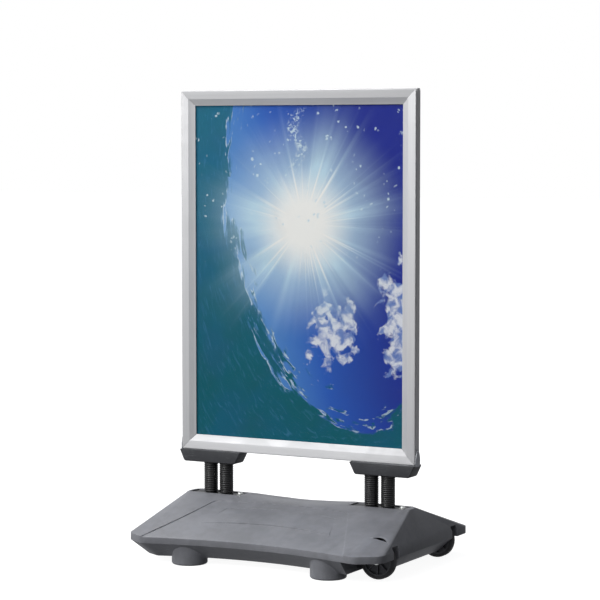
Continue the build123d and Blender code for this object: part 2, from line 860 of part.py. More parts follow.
def clip(side, front):
    """One hinged snap profile on one side and face of the frame."""
    length = side_length(side)
    bar = extrude(section_plane * clip_section(), length / 2, both=True)
    bar = bar & mitre_block(length, mitre_gap, clip_corner_cut)
    low = frame_thickness / 2 - clip_wall
    for relief in end_relief(length, hinge_corner_cut, 0.0, low):
        bar = bar - relief
    if not front:
        bar = bar.mirror(Plane.XZ)
    return place_side(bar, side)


def corner_keys():
    """Angle pieces inside the rails that join them at the four corners."""
    keys = []
    low = core_wall + seat_gap
    high = chamber_end - seat_gap
    corner = Polyline(
        (low, low),
        (key_leg_length, low),
        (key_leg_length, high),
        (high, high),
        (high, key_leg_length),
        (low, key_leg_length),
        close=True,
    )
    key = extrude(Plane.XZ * make_face(corner), chamber_half - slide_gap, both=True)
    at_corner = Pos(-frame_width / 2, 0, frame_bottom_height) * key
    for left in (True, False):
        for bottom in (True, False):
            piece = at_corner if left else at_corner.mirror(Plane.YZ)
            if not bottom:
                piece = piece.mirror(Plane.XY.offset(frame_center_height))
            keys.append(piece)
    return group(keys)


def snap_springs(front):
    """Bent spring-steel leaves on the rails that push the clips of one face."""
    thin = snap_spring_thickness
    base = half_core
    crest = frame_thickness / 2 - clip_wall - seat_gap
    leaf_face = make_face(
        Polyline(
            (7.0, base),
            (12.2, base),
            (17.2, crest - thin),
            (19.5, crest - thin),
            (19.5, crest),
            (17.0, crest),
            (12.0, base + thin),
            (7.0, base + thin),
            close=True,
        )
    )
    leaf = extrude(section_plane * leaf_face, snap_spring_length / 2, both=True)
    if not front:
        leaf = leaf.mirror(Plane.XZ)
    leaves = []
    for side in side_angles:
        for step in (-1, 1):
            leaves.append(place_side(Pos(step * side_length(side) / 4, 0, 0) * leaf, side))
    return group(leaves)


def sheet(width, height, y_low, y_high):
    """A flat rectangular sheet centred in the frame."""
    low = frame_center_height - height / 2
    return block(-width / 2, width / 2, y_low, y_high, low, low + height)


def sheets():
    """Backing panel, and a poster and a clear cover sheet on each face."""
    edge = 2 * (core_depth - groove_depth + seat_gap)
    half_back = backing_thickness / 2
    poster_face = half_back + poster_thickness
    outer_face = poster_face + cover_sheet_thickness
    return {
        "backing_panel": sheet(frame_width - edge, frame_height - edge, -half_back, half_back),
        "front_poster": sheet(poster_width, poster_height, -poster_face, -half_back),
        "rear_poster": sheet(poster_width, poster_height, half_back, poster_face),
        "front_cover_sheet": sheet(poster_width, poster_height, -outer_face, -poster_face),
        "rear_cover_sheet": sheet(poster_width, poster_height, poster_face, outer_face),
    }


# ---------------------------------------------------------------- write every sub-part


write("base_tank", base_tank())
write("filler_bung", filler_bung())
for end_name, end_sign in (("front", -1), ("rear", 1)):
    write(f"wheel_hub_{end_name}", wheel_hub(end_sign * wheel_y))
    write(f"tyre_{end_name}", tyre(end_sign * wheel_y))
    write(f"axle_{end_name}", axle(end_sign))

for spring_name, spring_x in zip(spring_names, spring_places):
    write(f"spring_{spring_name}", coil_spring(spring_x))
write("lower_spring_plugs", group(lower_spring_plug(x) for x in spring_places))
write("upper_spring_plugs", group(upper_spring_plug(x) for x in spring_places))
write("lower_plug_screws", group(countersunk(x, pocket_floor, 1) for x in spring_places))
write("upper_plug_screws", group(countersunk(x, frame_bottom_height, -1) for x in spring_places))
write("plate_bolts", group(plate_bolt(x) for x in bolt_places))
write("plate_washers", group(plate_washer(x) for x in bolt_places))
write("threaded_inserts", group(threaded_insert(x) for x in bolt_places))

for side_name, side_sign in (("left", -1), ("right", 1)):
    write(f"foot_plate_{side_name}", foot_plate(side_sign))
    write(f"bracket_cover_{side_name}", bracket_cover(side_sign))
    write(f"bracket_plate_{side_name}", bracket_plate(side_sign))
write("rail_screws", rail_screws())

for side_name in side_angles:
    write(f"rail_{side_name}", rail(side_name))
    write(f"front_clip_{side_name}", clip(side_name, True))
    write(f"rear_clip_{side_name}", clip(side_name, False))
write("corner_keys", corner_keys())
write("front_snap_springs", snap_springs(True))
write("rear_snap_springs", snap_springs(False))
for sheet_name, sheet_shape in sheets().items():
    write(sheet_name, sheet_shape)
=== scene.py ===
"""Looks of a double-sided pavement poster sign on springs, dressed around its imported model.

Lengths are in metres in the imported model's own frame: +X runs along the sign towards the wheels,
-Y is the front and +Z is up.
"""

import json
import logging
import math
from collections.abc import Iterable, Sequence
from dataclasses import dataclass
from enum import Enum

import bpy
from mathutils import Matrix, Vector

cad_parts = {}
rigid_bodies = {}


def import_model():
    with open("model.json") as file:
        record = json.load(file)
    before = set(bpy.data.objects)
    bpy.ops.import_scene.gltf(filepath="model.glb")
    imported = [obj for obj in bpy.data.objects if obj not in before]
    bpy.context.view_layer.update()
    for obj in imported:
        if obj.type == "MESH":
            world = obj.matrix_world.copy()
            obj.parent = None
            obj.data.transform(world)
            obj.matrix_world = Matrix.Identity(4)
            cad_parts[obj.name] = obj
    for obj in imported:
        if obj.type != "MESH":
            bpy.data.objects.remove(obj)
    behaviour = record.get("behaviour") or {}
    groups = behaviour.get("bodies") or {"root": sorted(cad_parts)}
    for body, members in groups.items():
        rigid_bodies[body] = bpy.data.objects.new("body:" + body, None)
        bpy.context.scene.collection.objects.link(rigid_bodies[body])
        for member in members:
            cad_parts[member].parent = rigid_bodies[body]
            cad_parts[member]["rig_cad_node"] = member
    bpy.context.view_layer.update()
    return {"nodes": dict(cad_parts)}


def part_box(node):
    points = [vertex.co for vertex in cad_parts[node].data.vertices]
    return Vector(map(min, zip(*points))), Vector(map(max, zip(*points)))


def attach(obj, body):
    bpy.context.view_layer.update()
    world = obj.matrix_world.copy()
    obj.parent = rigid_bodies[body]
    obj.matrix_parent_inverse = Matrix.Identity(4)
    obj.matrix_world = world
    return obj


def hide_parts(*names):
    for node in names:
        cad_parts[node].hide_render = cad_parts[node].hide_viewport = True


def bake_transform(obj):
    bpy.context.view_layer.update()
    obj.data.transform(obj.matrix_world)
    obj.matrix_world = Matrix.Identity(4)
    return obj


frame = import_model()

Socket = bpy.types.NodeSocket
Colour = tuple[float, float, float, float]
Feed = Socket | float | Sequence[float]

log = logging.getLogger("poster_sign")


def paint(red: int, green: int, blue: int) -> Colour:
    """Turns a display colour of 0 to 255 a channel into the linear colour that shaders take.

    Args:
        red: Red channel.
        green: Green channel.
        blue: Blue channel.

    Returns:
        The linear colour with full alpha.
    """
    linear = []
    for channel in (red, green, blue):
        share = channel / 255
        linear.append(share / 12.92 if share <= 0.04045 else ((share + 0.055) / 1.055) ** 2.4)
    return (*linear, 1.0)


# ---------------------------------------------------------------- shader graphs


class Graph:
    """Adds nodes to one node tree and joins their sockets."""

    def __init__(self, tree: bpy.types.NodeTree) -> None:
        """Keeps the tree that nodes are added to."""
        self.tree = tree

    def add(self, kind: str, feeds: dict | None = None, **settings: object) -> bpy.types.Node:
        """Adds one node.

        Args:
            kind: Blender's name for the node's type.
            feeds: What goes into each input, by the input's name or number.
            **settings: Values for the node's own properties.

        Returns:
            The new node.
        """
        node = self.tree.nodes.new(kind)
        for name, value in settings.items():
            setattr(node, name, value)
        for name, value in (feeds or {}).items():
            self.feed(node.inputs[name], value)
        return node

    def feed(self, socket: Socket, value: Feed) -> None:
        """Links a socket into an input, or sets the input to a plain value."""
        if isinstance(value, bpy.types.NodeSocket):
            self.tree.links.new(value, socket)
        else:
            socket.default_value = value

    def math(self, operation: str, *values: Feed, clamp: bool = False) -> Socket:
        """Returns the result of a Math node."""
        feeds = dict(enumerate(values))
        return self.add("ShaderNodeMath", feeds, operation=operation, use_clamp=clamp).outputs[0]

    def vector(self, operation: str, *values: Feed, output: str = "Vector") -> Socket:
        """Returns one result of a Vector Math node."""
        feeds = dict(enumerate(values))
        return self.add("ShaderNodeVectorMath", feeds, operation=operation).outputs[output]

    def span(self, value: Feed, low: float, high: float, start: float = 0.0, end: float = 1.0) -> Socket:
        """Eases a value from start to end as it goes from low to high, and holds it outside."""
        feeds = {"Value": value, "From Min": low, "From Max": high, "To Min": start, "To Max": end}
        node = self.add("ShaderNodeMapRange", feeds, interpolation_type="SMOOTHSTEP")
        return node.outputs["Result"]

    def mix(self, factor: Feed, first: Feed, second: Feed) -> Socket:
        """Returns a colour between two colours."""
        node = self.add("ShaderNodeMix", data_type="RGBA")
        self.feed(node.inputs["Factor"], factor)
        self.feed(node.inputs[6], first)
        self.feed(node.inputs[7], second)
        return node.outputs[2]

    def noise(self, place: Feed, scale: Feed, detail: float = 4.0, distortion: float = 0.0) -> Socket:
        """Returns soft fractal noise of about 0.3 to 0.7."""
        feeds = {"Vector": place, "Scale": scale, "Detail": detail, "Distortion": distortion}
        return self.add("ShaderNodeTexNoise", feeds).outputs["Fac"]

    def cells(self, place: Feed, scale: Feed, feature: str = "F1", output: str = "Distance") -> Socket:
        """Returns the distance, or another output, of a pattern of random cells."""
        feeds = {"Vector": place, "Scale": scale}
        return self.add("ShaderNodeTexVoronoi", feeds, feature=feature).outputs[output]

    def ramp(self, factor: Feed, stops: Sequence[tuple[float, Colour]]) -> Socket:
        """Returns a colour ramp's colour."""
        node = self.add("ShaderNodeValToRGB", {"Fac": factor})
        elements = node.color_ramp.elements
        for element, (place, colour) in zip(elements, stops[:2]):
            element.position = place
            element.color = colour
        for place, colour in stops[2:]:
            elements.new(place).color = colour
        return node.outputs["Color"]

    def apart(self, vector: Feed) -> tuple[Socket, Socket, Socket]:
        """Splits a vector into its three numbers."""
        outputs = self.add("ShaderNodeSeparateXYZ", {"Vector": vector}).outputs
        return outputs[0], outputs[1], outputs[2]

    def together(self, x: Feed = 0.0, y: Feed = 0.0, z: Feed = 0.0) -> Socket:
        """Joins three numbers into a vector."""
        return self.add("ShaderNodeCombineXYZ", {0: x, 1: y, 2: z}).outputs[0]

    def object_place(self) -> Socket:
        """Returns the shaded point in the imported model's frame."""
        return self.add("ShaderNodeTexCoord").outputs["Object"]

    def use(self, group: "Effect", feeds: dict | None = None) -> bpy.types.NodeOutputs:
        """Places a shared effect and returns its outputs."""
        node = self.add("ShaderNodeGroup", node_tree=group.tree())
        for name, value in (feeds or {}).items():
            self.feed(node.inputs[name], value)
        return node.outputs


class Kind(Enum):
    """Types of socket on a shared effect."""

    NUMBER = "NodeSocketFloat"
    VECTOR = "NodeSocketVector"
    COLOUR = "NodeSocketColor"


class Effect:
    """A shader node group that several finishes share, built the first time it is used."""

    label = "effect"
    takes: dict[str, Kind] = {}
    gives: dict[str, Kind] = {}

    def tree(self) -> bpy.types.NodeTree:
        """Returns the node group, and builds it if it isn't there yet."""
        found = bpy.data.node_groups.get(self.label)
        if found is not None:
            return found
        group = bpy.data.node_groups.new(self.label, "ShaderNodeTree")
        for name, kind in self.takes.items():
            group.interface.new_socket(name=name, in_out="INPUT", socket_type=kind.value)
        for name, kind in self.gives.items():
            group.interface.new_socket(name=name, in_out="OUTPUT", socket_type=kind.value)
        graph = Graph(group)
        inputs = graph.add("NodeGroupInput").outputs
        results = self.build(graph, inputs)
        graph.add("NodeGroupOutput", results)
        return group

    def build(self, graph: Graph, inputs: bpy.types.NodeOutputs) -> dict[str, Socket]:
        """Adds the effect's nodes.

        Args:
            graph: The group's graph.
            inputs: The group's inputs, by name.

        Returns:
            The socket that goes to each of the group's outputs.
        """
        raise NotImplementedError


class MouldGrain(Effect):
    """Fine spark-eroded grain of a plastic mould, with the slow mottling of its colour."""

    label = "mould_grain"
    takes = {"Place": Kind.VECTOR, "Scale": Kind.NUMBER}
    gives = {"Height": Kind.NUMBER, "Mottle": Kind.NUMBER}

    def build(self, graph: Graph, inputs: bpy.types.NodeOutputs) -> dict[str, Socket]:
        """Adds pebbles, pinholes and mottling."""
        place, scale = inputs["Place"], inputs["Scale"]
        pebbles = graph.cells(place, scale, "SMOOTH_F1")
        fine = graph.noise(place, graph.math("MULTIPLY", scale, 2.3), 3.0)
        height = graph.math("ADD", graph.math("MULTIPLY", pebbles, 0.7), graph.math("MULTIPLY", fine, 0.5))
        slow = graph.noise(place, 9.0, 5.0, 0.6)
        cloudy = graph.noise(place, 46.0, 4.0)
        mottle = graph.math("ADD", graph.math("MULTIPLY", slow, 0.65), graph.math("MULTIPLY", cloudy, 0.35))
        return {"Height": height, "Mottle": graph.span(mottle, 0.36, 0.64)}


class EdgeWear(Effect):
    """Where corners rub: convex edges, broken up by noise."""

    label = "edge_wear"
    takes = {"Place": Kind.VECTOR, "Reach": Kind.NUMBER, "Amount": Kind.NUMBER}
    gives = {"Mask": Kind.NUMBER}

    def build(self, graph: Graph, inputs: bpy.types.NodeOutputs) -> dict[str, Socket]:
        """Compares the rounded normal with the true one and breaks the band up."""
        rounded = graph.add("ShaderNodeBevel", {"Radius": inputs["Reach"]}, samples=4).outputs["Normal"]
        normal = graph.add("ShaderNodeNewGeometry").outputs["Normal"]
        agreement = graph.vector("DOT_PRODUCT", rounded, normal, output="Value")
        band = graph.span(agreement, 0.995, 0.86)
        patches = graph.span(graph.noise(inputs["Place"], 60.0, 6.0), 0.40, 0.62)
        rubbed = graph.math("MULTIPLY", band, graph.math("ADD", 0.35, patches))
        return {"Mask": graph.math("MULTIPLY", rubbed, inputs["Amount"], clamp=True)}


class SettledDust(Effect):
    """Pale dust on what faces up, thicker in patches."""

    label = "settled_dust"
    takes = {"Place": Kind.VECTOR, "Amount": Kind.NUMBER}
    gives = {"Mask": Kind.NUMBER}

    def build(self, graph: Graph, inputs: bpy.types.NodeOutputs) -> dict[str, Socket]:
        """Weighs patchy noise by how far the surface faces up."""
        upward = graph.apart(graph.add("ShaderNodeNewGeometry").outputs["Normal"])[2]
        facing = graph.span(upward, 0.1, 0.95)
        patches = graph.span(graph.noise(inputs["Place"], 14.0, 7.0, 0.8), 0.38, 0.68)
        specks = graph.span(graph.noise(inputs["Place"], 420.0, 2.0), 0.50, 0.72)
        cover = graph.math("ADD", graph.math("MULTIPLY", patches, 0.75), graph.math("MULTIPLY", specks, 0.35))
        seen = graph.math("MULTIPLY", cover, facing)
        return {"Mask": graph.math("MULTIPLY", seen, inputs["Amount"], clamp=True)}


class Scuffs(Effect):
    """Short fine scratches in two directions, only where the surface has been rubbed."""

    label = "scuffs"
    takes = {"Place": Kind.VECTOR, "Scale": Kind.NUMBER}
    gives = {"Mask": Kind.NUMBER}
    turns = (0.5, -0.9)
    stretch = (1.0, 14.0, 9.0)

    def build(self, graph: Graph, inputs: bpy.types.NodeOutputs) -> dict[str, Socket]:
        """Thins stretched noise down to lines, and masks it with broad patches."""
        lines = None
        for turn in self.turns:
            turned = graph.add(
                "ShaderNodeMapping",
                {"Vector": inputs["Place"], "Rotation": (turn, turn, turn), "Scale": self.stretch},
            ).outputs[0]
            stroke = graph.noise(turned, inputs["Scale"], 1.0, 0.3)
            line = graph.span(graph.math("ABSOLUTE", graph.math("SUBTRACT", stroke, 0.5)), 0.012, 0.002)
            lines = line if lines is None else graph.math("MAXIMUM", lines, line)
        patches = graph.span(graph.noise(inputs["Place"], 11.0, 4.0), 0.50, 0.66)
        return {"Mask": graph.math("MULTIPLY", lines, patches)}


class DrawLines(Effect):
    """Faint lines that a die or a brush leaves along a metal section."""

    label = "draw_lines"
    takes = {"Place": Kind.VECTOR, "Stretch": Kind.VECTOR}
    gives = {"Height": Kind.NUMBER, "Tone": Kind.NUMBER}

    def build(self, graph: Graph, inputs: bpy.types.NodeOutputs) -> dict[str, Socket]:
        """Stretches noise along the section."""
        along = graph.vector("MULTIPLY", inputs["Place"], inputs["Stretch"])
        fine = graph.noise(along, 900.0, 3.0)
        broad = graph.noise(along, 130.0, 4.0)
        tone = graph.math("ADD", graph.math("MULTIPLY", fine, 0.5), graph.math("MULTIPLY", broad, 0.5))
        return {"Height": fine, "Tone": graph.span(tone, 0.38, 0.62)}


class SeaPicture(Effect):
    """The printed picture: the sun seen from under water, with ripples, bubbles and clouds.

    Its input is a place on the poster in poster widths from the poster's middle, X to the right and
    Z up, so the sheet reaches from -0.5 to 0.5 across and from -0.71 to 0.71 up.
    """

    label = "sea_picture"
    takes = {"Place": Kind.VECTOR}
    gives = {"Color": Kind.COLOUR}
    sun = (0.03, 0.0, 0.205)
    window_middle = (0.30, 0.0, 0.396)
    window_stretch = (1.60, 0.0, 1.02)
    # Middle of each cloud, in poster widths, and how much its distances are stretched.
    cloud_places = (
        ((0.155, 0.0, -0.235), (7.6, 0.0, 5.6)),
        ((0.47, 0.0, -0.20), (9.0, 0.0, 3.6)),
    )
    shades = {
        "indigo": paint(30, 44, 146),
        "blue": paint(46, 96, 190),
        "sky": paint(96, 158, 216),
        "teal": paint(30, 108, 132),
        "deep": paint(6, 94, 106),
        "glow": paint(196, 226, 242),
        "white": paint(255, 255, 250),
        "foam": paint(214, 234, 242),
        "cloud": paint(240, 243, 248),
        "cloud_shade": paint(112, 138, 200),
    }

    def build(self, graph: Graph, inputs: bpy.types.NodeOutputs) -> dict[str, Socket]:
        """Paints water, light, ripples, bubbles and clouds over one another."""
        place = inputs["Place"]
        x, _, z = graph.apart(place)
        flat = graph.together(x, 0.0, z)
        colour, rim, inside = self.water(graph, flat, x, z)
        colour = self.clouds(graph, flat, colour)
        colour = self.light(graph, flat, colour, inside)
        colour = self.foam(graph, flat, x, z, colour, rim)
        return {"Color": colour}

    def around_window(self, graph: Graph, flat: Socket) -> tuple[Socket, Socket]:
        """Measures a place against the bright window of the water's surface.

        Args:
            graph: The group's graph.
            flat: The place on the poster.

        Returns:
            How far out the place lies, 1 at the window's edge, and a vector that runs round the edge.
        """
        offset = graph.vector("SUBTRACT", flat, self.window_middle)
        scaled = graph.vector("MULTIPLY", offset, self.window_stretch)
        out = graph.vector("LENGTH", scaled, output="Value")
        sx, _, sz = graph.apart(scaled)
        angle = graph.math("ARCTAN2", sz, sx)
        return out, graph.together(graph.math("MULTIPLY", angle, 1.5), 0.0, graph.math("MULTIPLY", out, 6.0))

    def water(self, graph: Graph, flat: Socket, x: Socket, z: Socket) -> tuple[Socket, Socket, Socket]:
        """Paints the bright window, the dark water round it and the ripples at its edge.

        Returns:
            The colour, a mask of the window's rim, and how far a place is inside the window.
        """
        out, run = self.around_window(graph, flat)
        swell = graph.noise(run, 1.6, 5.0, 0.9)
        chop = graph.noise(run, 5.5, 4.0, 1.2)
        shifted = graph.math("ADD", graph.math("MULTIPLY", swell, 0.52), graph.math("MULTIPLY", chop, 0.24))
        edge = graph.math("ADD", out, graph.math("SUBTRACT", shifted, 0.38))
        inside = graph.span(edge, 1.03, 0.96)
        across = graph.span(graph.math("ADD", x, graph.math("MULTIPLY", z, 0.25)), -0.45, 0.5)
        blues = graph.ramp(
            across, [(0.0, self.shades["sky"]), (1.0, self.shades["indigo"]), (0.5, self.shades["blue"])]
        )
        depth = graph.span(z, 0.35, -0.55)
        greens = graph.mix(depth, self.shades["teal"], self.shades["deep"])
        drift = graph.span(graph.noise(flat, 5.0, 6.0, 0.5), 0.35, 0.68, 0.0, 0.10)
        greens = graph.mix(drift, greens, self.shades["blue"])
        streaks = graph.span(graph.noise(run, 9.0, 5.0, 1.4), 0.54, 0.72, 0.0, 0.16)
        greens = graph.mix(streaks, greens, self.shades["sky"])
        colour = graph.mix(inside, greens, blues)
        rim_band = graph.span(graph.math("ABSOLUTE", graph.math("SUBTRACT", edge, 0.99)), 0.022, 0.0)
        broken = graph.span(graph.noise(run, 7.0, 3.0), 0.46, 0.60)
        return colour, graph.math("MULTIPLY", rim_band, broken), inside

    def light(self, graph: Graph, flat: Socket, colour: Socket, inside: Socket) -> Socket:
        """Adds the sun, its glow and the beams that fan out from it."""
        offset = graph.vector("SUBTRACT", flat, self.sun)
        distance = graph.vector("LENGTH", offset, output="Value")
        heading = graph.vector("NORMALIZE", offset)
        broad = graph.span(graph.noise(heading, 2.6, 2.0), 0.42, 0.66)
        narrow = graph.span(graph.noise(heading, 15.0, 3.0), 0.52, 0.70)
        beams = graph.math("ADD", graph.math("MULTIPLY", broad, 0.55), graph.math("MULTIPLY", narrow, 0.28))
        beam_reach = graph.span(distance, 0.62, 0.10)
        shine = graph.math("MULTIPLY", graph.math("MULTIPLY", beams, beam_reach), 0.85)
        halo = graph.span(distance, 0.50, 0.09)
        glow = graph.math("ADD", graph.math("MULTIPLY", halo, 0.95), shine, clamp=True)
        shaded = graph.math("MULTIPLY", glow, graph.span(inside, 0.0, 1.0, 0.62, 1.0))
        colour = graph.mix(shaded, colour, self.shades["glow"])
        star = graph.math("ADD", graph.math("MULTIPLY", narrow, 0.075), 0.20)
        core = graph.span(graph.math("SUBTRACT", distance, star), 0.05, -0.13)
        return graph.mix(core, colour, self.shades["white"])

    def foam(
        self, graph: Graph, flat: Socket, x: Socket, z: Socket, colour: Socket, rim: Socket
    ) -> Socket:
        """Adds the white rim of the ripples, loose bubbles and a column of bubbles at the top."""
        colour = graph.mix(graph.math("MULTIPLY", rim, 0.75), colour, self.shades["foam"])
        bent = graph.vector("ADD", flat, graph.vector("MULTIPLY", self.shake(graph, flat, 30.0), (0.03,) * 3))
        bubbles = graph.span(graph.cells(bent, 34.0), 0.26, 0.12)
        chosen = graph.span(graph.noise(flat, 9.0, 2.0), 0.50, 0.58)
        upper = graph.span(z, -0.05, 0.25)
        loose = graph.math("MULTIPLY", graph.math("MULTIPLY", bubbles, chosen), upper)
        sway = graph.math("MULTIPLY", graph.math("SINE", graph.math("MULTIPLY", z, 34.0)), 0.022)
        from_line = graph.math("ABSOLUTE", graph.math("SUBTRACT", graph.math("ADD", x, sway), 0.0))
        column = graph.math(
            "MULTIPLY",
            graph.span(from_line, 0.034, 0.008),
            graph.math("MULTIPLY", graph.span(z, 0.40, 0.46), graph.span(z, 0.69, 0.64)),
        )
        speckle = graph.span(graph.noise(bent, 75.0, 3.0, 1.0), 0.47, 0.60)
        white = graph.math("MAXIMUM", loose, graph.math("MULTIPLY", column, speckle))
        return graph.mix(graph.math("MULTIPLY", white, 0.85), colour, self.shades["foam"])

    def clouds(self, graph: Graph, flat: Socket, colour: Socket) -> Socket:
        """Adds two small clouds seen through the surface on the right."""
        wisps = graph.noise(flat, 14.0, 8.0, 0.35)
        for middle, stretch in self.cloud_places:
            offset = graph.vector("MULTIPLY", graph.vector("SUBTRACT", flat, middle), stretch)
            far = graph.vector("LENGTH", offset, output="Value")
            body = graph.math("SUBTRACT", graph.math("MULTIPLY", wisps, 2.6), far)
            shape = graph.span(body, 0.50, 0.72)
            shade = graph.span(graph.noise(flat, 26.0, 5.0, 0.5), 0.38, 0.62)
            puff = graph.mix(shade, self.shades["cloud_shade"], self.shades["cloud"])
            colour = graph.mix(graph.math("MULTIPLY", shape, 0.92), colour, puff)
        return colour

    def shake(self, graph: Graph, place: Socket, scale: float) -> Socket:
        """Returns a random offset of about -0.5 to 0.5 a way for breaking up round shapes."""
        colour = graph.add("ShaderNodeTexNoise", {"Vector": place, "Scale": scale}).outputs["Color"]
        return graph.vector("SUBTRACT", colour, (0.5, 0.5, 0.5))


mould_grain = MouldGrain()
edge_wear = EdgeWear()
settled_dust = SettledDust()
scuffs = Scuffs()
draw_lines = DrawLines()
sea_picture = SeaPicture()


# ---------------------------------------------------------------- finishes


def start_material(name: str, **constants: object) -> tuple[bpy.types.Material, Graph, bpy.types.Node]:
    """Starts a material with one Principled shader.

    Args:
        name: The material's name.
        **constants: Values set on the shader's own inputs, with _ for each space in their names.

    Returns:
        The material, its graph and its Principled shader.
    """
    material = bpy.data.materials.new(name)
    material.use_nodes = True
    graph = Graph(material.node_tree)
    shader = material.node_tree.nodes["Principled BSDF"]
    for key, value in constants.items():
        shader.inputs[key.replace("_", " ")].default_value = value
    return material, graph, shader


def bump(graph: Graph, shader: bpy.types.Node, height: Socket, depth: float, strength: float = 1.0) -> None:
    """Feeds a height into the shader's normal.

    Args:
        graph: The material's graph.
        shader: The Principled shader.
        height: A height of about 0 to 1.
        depth: What a height of 1 stands for, in metres.
        strength: How much of the bump is used.
    """
    feeds = {"Height": height, "Distance": depth, "Strength": strength}
    graph.feed(shader.inputs["Normal"], graph.add("ShaderNodeBump", feeds).outputs["Normal"])


@dataclass(frozen=True)
class MouldedPlastic:
    """Moulded plastic with a grained skin, rubbed corners, scratches and some dust."""

    name: str
    colour: Colour
    rubbed: Colour
    roughness: float = 0.5
    grain: float = 1100.0
    grain_depth: float = 0.00012
    wear: float = 0.5
    wear_reach: float = 0.003
    dust: float = 0.25
    dust_colour: Colour = paint(166, 165, 164)
    mottle: float = 0.12

    def build(self) -> bpy.types.Material:
        """Makes the material."""
        material, graph, shader = start_material(self.name, Specular_IOR_Level=0.28)
        place = graph.object_place()
        grain = graph.use(mould_grain, {"Place": place, "Scale": self.grain})
        worn = graph.use(edge_wear, {"Place": place, "Reach": self.wear_reach, "Amount": self.wear})
        dusty = graph.use(settled_dust, {"Place": place, "Amount": self.dust})
        marks = graph.use(scuffs, {"Place": place, "Scale": 24.0})
        darker = tuple(channel * (1.0 - self.mottle) for channel in self.colour[:3])
        lighter = tuple(min(channel * (1.0 + self.mottle), 1.0) for channel in self.colour[:3])
        colour = graph.mix(grain["Mottle"], (*darker, 1.0), (*lighter, 1.0))
        colour = graph.mix(worn["Mask"], colour, self.rubbed)
        colour = graph.mix(graph.math("MULTIPLY", marks["Mask"], 0.35), colour, self.rubbed)
        colour = graph.mix(dusty["Mask"], colour, self.dust_colour)
        graph.feed(shader.inputs["Base Color"], colour)
        rough = graph.span(grain["Mottle"], 0.0, 1.0, self.roughness - 0.05, self.roughness + 0.05)
        rough = graph.math("SUBTRACT", rough, graph.math("MULTIPLY", worn["Mask"], 0.12))
        rough = graph.math("ADD", rough, graph.math("MULTIPLY", dusty["Mask"], 0.3), clamp=True)
        graph.feed(shader.inputs["Roughness"], rough)
        height = graph.math("SUBTRACT", grain["Height"], graph.math("MULTIPLY", marks["Mask"], 0.6))
        bump(graph, shader, height, self.grain_depth)
        return material


@dataclass(frozen=True)
class DrawnMetal:
    """Metal with lines along it, rubbed corners and fine scratches."""

    name: str
    colour: Colour
    rubbed: Colour
    stretch: tuple[float, float, float] = (0.02, 1.0, 1.0)
    metallic: float = 1.0
    roughness: float = 0.35
    depth: float = 0.00002
    wear: float = 0.3
    wear_reach: float = 0.001
    mottle: float = 0.06

    def build(self) -> bpy.types.Material:
        """Makes the material."""
        material, graph, shader = start_material(self.name, Metallic=self.metallic)
        place = graph.object_place()
        lines = graph.use(draw_lines, {"Place": place, "Stretch": self.stretch})
        worn = graph.use(edge_wear, {"Place": place, "Reach": self.wear_reach, "Amount": self.wear})
        marks = graph.use(scuffs, {"Place": place, "Scale": 30.0})
        smears = graph.span(graph.noise(place, 13.0, 6.0, 0.6), 0.35, 0.65)
        darker = tuple(channel * (1.0 - self.mottle) for channel in self.colour[:3])
        colour = graph.mix(lines["Tone"], (*darker, 1.0), self.colour)
        colour = graph.mix(graph.math("MULTIPLY", smears, self.mottle), colour, (*darker, 1.0))
        colour = graph.mix(worn["Mask"], colour, self.rubbed)
        graph.feed(shader.inputs["Base Color"], colour)
        rough = graph.span(smears, 0.0, 1.0, self.roughness - 0.05, self.roughness + 0.06)
        rough = graph.math("ADD", rough, graph.math("MULTIPLY", marks["Mask"], 0.12), clamp=True)
        graph.feed(shader.inputs["Roughness"], rough)
        height = graph.math("SUBTRACT", lines["Height"], graph.math("MULTIPLY", marks["Mask"], 0.8))
        bump(graph, shader, height, self.depth)
        return material


@dataclass(frozen=True)
class Enamel:
    """Baked black coating over steel, with chips on its corners."""

    name: str
    colour: Colour
    chipped: Colour
    roughness: float = 0.34
    peel: float = 480.0
    wear: float = 0.35
    wear_reach: float = 0.001
    dust: float = 0.15

    def build(self) -> bpy.types.Material:
        """Makes the material."""
        material, graph, shader = start_material(self.name, Coat_Roughness=0.3, Coat_Weight=0.08)
        place = graph.object_place()
        worn = graph.use(edge_wear, {"Place": place, "Reach": self.wear_reach, "Amount": self.wear})
        dusty = graph.use(settled_dust, {"Place": place, "Amount": self.dust})
        peel = graph.noise(place, self.peel, 2.0)
        uneven = graph.span(graph.noise(place, 38.0, 5.0), 0.35, 0.65)
        lighter = tuple(min(channel * 1.5 + 0.002, 1.0) for channel in self.colour[:3])
        colour = graph.mix(uneven, self.colour, (*lighter, 1.0))
        colour = graph.mix(worn["Mask"], colour, self.chipped)
        colour = graph.mix(dusty["Mask"], colour, paint(150, 146, 138))
        graph.feed(shader.inputs["Base Color"], colour)
        rough = graph.span(uneven, 0.0, 1.0, self.roughness - 0.05, self.roughness + 0.08)
        rough = graph.math("ADD", rough, graph.math("MULTIPLY", dusty["Mask"], 0.3), clamp=True)
        graph.feed(shader.inputs["Roughness"], rough)
        bump(graph, shader, peel, 0.00004)
        return material


